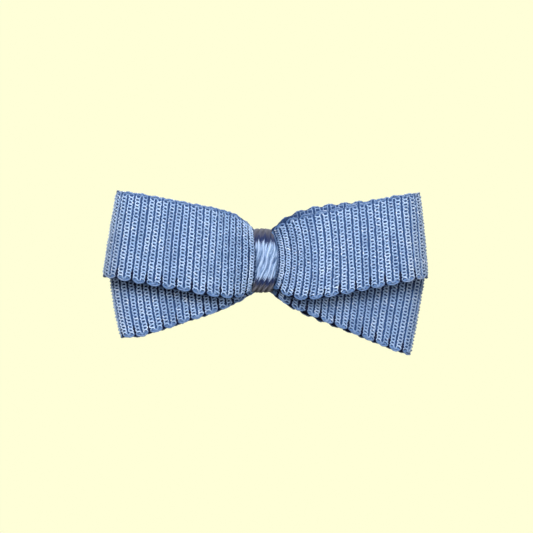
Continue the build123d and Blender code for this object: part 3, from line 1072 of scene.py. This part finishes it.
def torsion_spring():
    """A coil round the pin, with a leg under the arm and a leg under the jaw's lever."""
    start = math.radians(-90 - ARM_LEG_DROP)
    end = math.radians(90 + JAW_LEG_RISE - 360 * COIL_TURNS)
    angle = np.linspace(start, end, 150)
    x = PIN[0] + COIL_RADIUS * np.cos(angle)
    y = PIN[1] + COIL_RADIUS * np.sin(angle)
    z = np.linspace(-COIL_HEIGHT / 2, COIL_HEIGHT / 2, len(angle))
    coil = np.stack([x, y, z], -1)
    arm_leg = spring_leg(coil[0], -ARM_LEG_DROP)
    jaw_leg = spring_leg(coil[-1], JAW_LEG_RISE)
    wire = np.concatenate([arm_leg[:-1], coil, jaw_leg[-2::-1]])
    host = thread_chains("wire", [(wire, WIRE_RADIUS, 1.0)])
    given = {"Sides": 16, "Material": FINISHES["spring"]}
    obj = run_tree(loose_threads, host, "torsion_spring_wire", given)
    drop(host)
    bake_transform(obj)
    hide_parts("torsion_spring")


torsion_spring()


def closed_strip(name, line, thickness, half_width, columns, uv_pitch):
    """A ribbon of cloth that follows a line in the XY plane, closed all round, with a UV map."""
    line = np.array(line)
    step = np.gradient(line, axis=0)
    normal = np.stack([-step[:, 1], step[:, 0]], -1)
    normal /= np.linalg.norm(normal, axis=1, keepdims=True)
    z = np.linspace(-half_width, half_width, columns)
    layers = []
    for side in (0.5, -0.5):
        edge = np.repeat(line + normal * thickness * side, columns, 0)
        layers.append(np.concatenate([edge, np.tile(z, len(line))[:, None]], 1))
    rows = len(line)
    faces = closed_grid_faces(rows, columns, flip=True)
    obj = mesh_object(name, np.concatenate(layers), faces=faces)
    arc = np.concatenate([[0], np.cumsum(np.linalg.norm(np.diff(line, axis=0), axis=1))])
    flat = np.stack([np.repeat(arc, columns) / uv_pitch[0], np.tile(z, rows) / uv_pitch[1]], -1)
    store_uv(obj.data, "ribs", corner_values(obj.data, np.concatenate([flat, flat])))
    return obj


def arm_lining():
    """Thin ribbon glued along the arm's outside, over its nose and back along its inside."""
    outside = LINING_MIDDLE_Y - LINING_TURN
    inside = LINING_MIDDLE_Y + LINING_TURN
    line = [(x, outside) for x in np.linspace(ARM_TAIL, ARM_NOSE, 120)]
    for angle in np.linspace(0, math.pi, 14)[1:-1]:
        x = ARM_NOSE - LINING_TURN * math.sin(angle)
        line.append((x, LINING_MIDDLE_Y - LINING_TURN * math.cos(angle)))
    line += [(x, inside) for x in np.linspace(ARM_NOSE, LINING_INNER_END, 80)]
    obj = closed_strip("arm_lining_ribbon", line, LINING_THICKNESS, LINING_WIDTH / 2, 31, LINING_WEAVE)
    obj.data.shade_smooth()
    obj.data.materials.append(FINISHES["lining"])
    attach(obj, "bow")
    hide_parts("arm_lining")


arm_lining()


def grip_pad():
    """Silicone strip with cross ribs, moulded in one."""
    low, high = (np.array(corner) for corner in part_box("grip_pad"))
    back = low[1] + GRIP_INSET / 2
    floor_y = low[1] + GRIP_FLOOR
    crest = high[1] - GRIP_INSET
    outline = [(low[0], back), (low[0], floor_y)]
    for rib in range(int((high[0] - low[0]) / GRIP_RIB_PITCH)):
        x = low[0] + rib * GRIP_RIB_PITCH
        for share, y in ((0.1, floor_y), (0.3, crest), (0.7, crest), (0.9, floor_y)):
            outline.append((x + share * GRIP_RIB_PITCH, y))
    outline += [(high[0], floor_y), (high[0], back)]
    size = len(outline)
    points = [(x, y, z) for z in (low[2], high[2]) for x, y in outline]
    faces = [tuple(range(size)), tuple(range(2 * size - 1, size - 1, -1))]
    for a in range(size):
        b = (a + 1) % size
        faces.append((b, a, a + size, b + size))
    obj = mesh_object("grip_pad_ribbed", points, faces=faces)
    bevel = obj.modifiers.new("soft edges", "BEVEL")
    bevel.width = 0.09 * MM
    bevel.segments = 3
    bevel.limit_method = "ANGLE"
    obj.data.materials.append(FINISHES["silicone"])
    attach(obj, "bow")
    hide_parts("grip_pad")


grip_pad()


def glue_bead():
    """A squashed blob of set glue, uneven round its rim."""
    low, high = (np.array(corner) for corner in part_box("glue_bead"))
    middle, half = (low + high) / 2, (high - low) / 2
    rows, columns = 24, 48
    theta, phi = np.meshgrid(np.linspace(0, math.pi, rows),
                             np.linspace(0, 2 * math.pi, columns, endpoint=False), indexing="ij")
    lobe = 1 + 0.05 * np.sin(3 * phi + 0.6) + 0.04 * np.sin(5 * phi + 2.0)
    ring = np.sin(theta) ** 0.45 * lobe
    squared = np.maximum(np.abs(np.cos(phi)), np.abs(np.sin(phi))) ** -0.55
    x = middle[0] + half[0] * 0.95 * ring * np.cos(phi) * squared
    z = middle[2] + half[2] * 0.95 * ring * np.sin(phi) * squared
    y = middle[1] + half[1] * np.cos(theta)
    points = np.stack([x, y, z], -1).reshape(-1, 3)
    faces = []
    for a in range(0, (rows - 1) * columns, columns):
        b = a + columns
        for j in range(columns):
            n = (j + 1) % columns
            faces.append((a + j, a + n, b + n, b + j))
    obj = mesh_object("glue_bead_blob", points, faces=faces)
    obj.data.shade_smooth()
    obj.data.materials.append(FINISHES["glue"])
    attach(obj, "bow")
    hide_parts("glue_bead")


glue_bead()

for node, finish in (("top_arm", "clip"), ("jaw_arm", "clip"), ("hinge_pin", "pin")):
    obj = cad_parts[node]
    for slot in obj.material_slots:
        slot.material = FINISHES[finish]
    if not obj.material_slots:
        obj.data.materials.append(FINISHES[finish])


# --- Stage, light and camera --------------------------------------------------------------------
CREAM = (1.0, 1.0, 0.687)
ROOM_SHADES = ((0.0, (0.20, 0.20, 0.19)), (0.52, (0.42, 0.43, 0.44)), (1.0, (0.66, 0.68, 0.72)))
FRAME_WIDTH = 101.3 * MM
LENS = 200.0
SENSOR_WIDTH = 36.0
FLOOR_HALF = 2.0
FLOOR_DROP = 9 * MM              # below the bow's lowest point
AIM = (0.38 * MM, -9.0 * MM, -1.14 * MM)


def glow(name, colour):
    """A colour that shows the same in any light."""
    material = bpy.data.materials.new(name)
    material.use_nodes = True
    shader = material.node_tree.nodes["Principled BSDF"]
    shader.inputs["Base Color"].default_value = (0, 0, 0, 1)
    shader.inputs["Specular IOR Level"].default_value = 0.0
    shader.inputs["Emission Color"].default_value = (*colour, 1)
    shader.inputs["Emission Strength"].default_value = 1.0
    return material


def floor():
    level = cad_box[0][2] - FLOOR_DROP
    corners = [(x * FLOOR_HALF, y * FLOOR_HALF, level) for x, y in ((-1, -1), (1, -1), (1, 1), (-1, 1))]
    obj = mesh_object("floor", corners, faces=[(0, 1, 2, 3)])
    obj.data.materials.append(glow("pale_floor", CREAM))
    obj.visible_diffuse = False
    obj.visible_glossy = False


def surroundings():
    """Cream all round as seen by the camera; a pale room, brighter above, as seen by the object."""
    world = bpy.data.worlds.new("room")
    bpy.context.scene.world = world
    world.use_nodes = True
    world.node_tree.nodes.clear()
    f = Nodes(world.node_tree)
    direction = f.node("ShaderNodeTexCoord").outputs["Generated"]
    height = f.node("ShaderNodeMapRange", Value=f.axes(direction)[2], From_Min=-1.0)
    lit = f.node("ShaderNodeBackground", Color=f.ramp(height, *ROOM_SHADES))
    seen = f.node("ShaderNodeBackground", Color=(*CREAM, 1))
    path = f.node("ShaderNodeLightPath")
    choose = f.node("ShaderNodeMixShader", i0=path.outputs["Is Camera Ray"], i1=lit, i2=seen)
    f.node("ShaderNodeOutputWorld", Surface=choose)


def softbox(name, place, size, power):
    """A round lamp that faces the bow."""
    lamp = bpy.data.lights.new(name, "AREA")
    lamp.shape = "DISK"
    lamp.size = size
    lamp.energy = power
    obj = add_object(name, lamp)
    obj.location = place
    towards_bow = -obj.location
    obj.rotation_euler = towards_bow.to_track_quat("-Z", "Y").to_euler()


def camera():
    data = bpy.data.cameras.new("camera")
    data.lens = LENS
    data.sensor_width = SENSOR_WIDTH
    data.clip_start = 0.01
    data.clip_end = 20.0
    obj = add_object("camera", data)
    distance = FRAME_WIDTH * LENS / SENSOR_WIDTH
    obj.location = (AIM[0], AIM[1] - distance, AIM[2])
    obj.rotation_euler = (math.pi / 2, 0, 0)
    bpy.context.scene.camera = obj


floor()
surroundings()
softbox("key", place=(-0.07, -0.50, 0.20), size=0.24, power=3.05)
softbox("fill", place=(0.24, -0.48, 0.02), size=0.26, power=1.2)
softbox("back_light", place=(0.12, 0.42, 0.30), size=0.26, power=1.6)
camera()
bpy.context.scene.view_settings.view_transform = "Standard"
